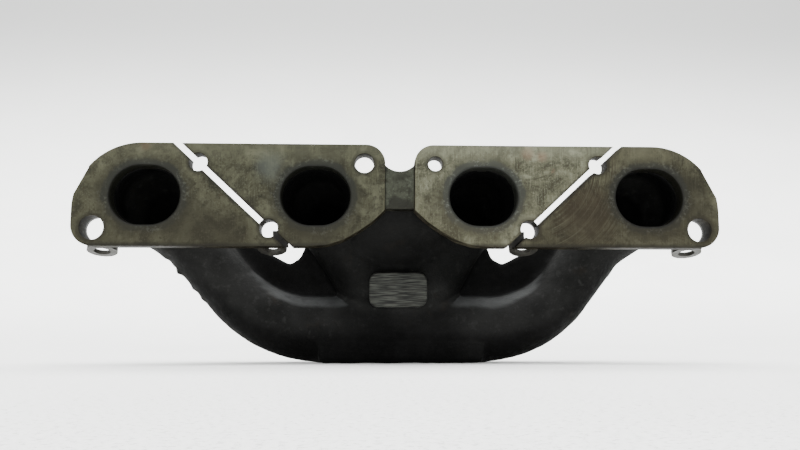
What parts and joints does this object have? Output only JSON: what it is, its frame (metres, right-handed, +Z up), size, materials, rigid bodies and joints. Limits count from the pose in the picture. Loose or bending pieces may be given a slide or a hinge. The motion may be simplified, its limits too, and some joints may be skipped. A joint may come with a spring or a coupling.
{
  "type": "exhaust manifold",
  "caption": "Cast-iron exhaust manifold for an inline four-cylinder engine, with saw-cut port flanges, swept runners, a central collector and a studded outlet flange.",
  "frame": {"origin": "bottom centre of the whole part, on the surface it stands on", "axes": "+X along the cylinder head from port 1 to port 4, +Y away from the head towards the outlet, +Z up"},
  "size_m": [0.3684, 0.134, 0.1255],
  "materials": {
    "cast_iron": "rough sand-cast, heat-darkened",
    "machined_iron": "milled, sooted and lightly rusted",
    "stud_steel": "heat-tinted",
    "tab_steel": "satin"
  },
  "bodies": {
    "root": {"port_flange_1": "machined_iron", "port_flange_2": "machined_iron", "port_flange_3": "machined_iron", "port_flange_4": "machined_iron", "centre_web": "cast_iron", "valley_web": "cast_iron", "runner_1": "cast_iron", "runner_2": "cast_iron", "runner_3": "cast_iron", "runner_4": "cast_iron", "gusset_left": "cast_iron", "gusset_right": "cast_iron", "collector": "cast_iron", "clamp_pad": "machined_iron", "outlet_neck": "cast_iron", "outlet_flange": "machined_iron", "outlet_stud_1": "stud_steel", "outlet_stud_2": "stud_steel", "outlet_stud_3": "stud_steel", "shield_tab_1": "tab_steel", "shield_tab_2": "tab_steel", "shield_tab_3": "tab_steel", "shield_tab_4": "tab_steel"}
  },
  "joints": []
}
